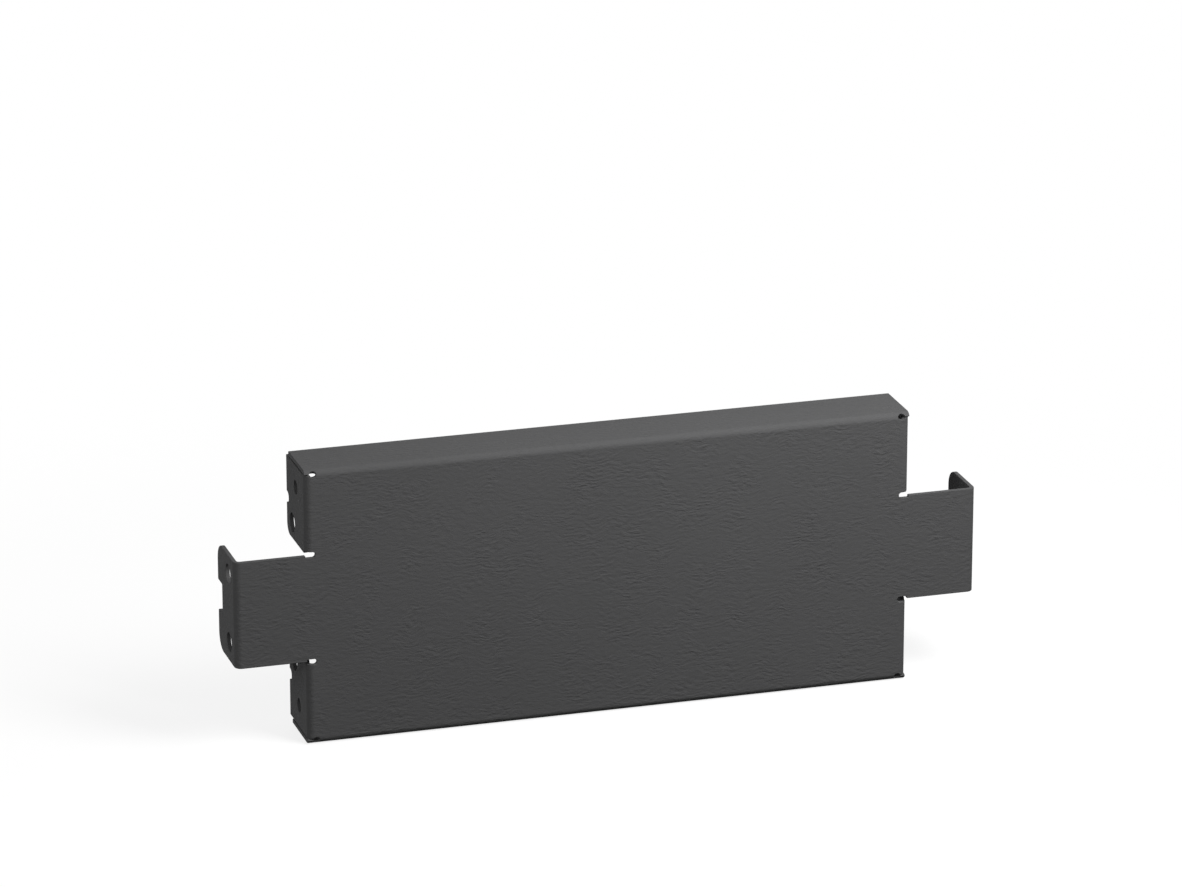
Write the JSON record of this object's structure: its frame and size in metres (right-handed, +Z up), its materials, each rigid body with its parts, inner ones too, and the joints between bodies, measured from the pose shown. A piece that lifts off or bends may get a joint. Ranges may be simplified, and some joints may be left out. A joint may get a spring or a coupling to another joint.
{
  "type": "enclosure plinth panel",
  "caption": "Folded sheet steel plinth panel: closed face with returned flanges, drilled side flanges and hooked, notched tabs at its ends.",
  "frame": {"origin": "centre of the footprint, on the surface that the panel stands on", "axes": "+X along the panel's length, -Y out of its closed face, +Z up"},
  "size_m": [0.269, 0.0254, 0.1],
  "materials": {
    "powder_coat": "matt fine-textured powder coat, dark grey"
  },
  "bodies": {
    "root": {"plinth_panel": "powder_coat"}
  },
  "joints": []
}
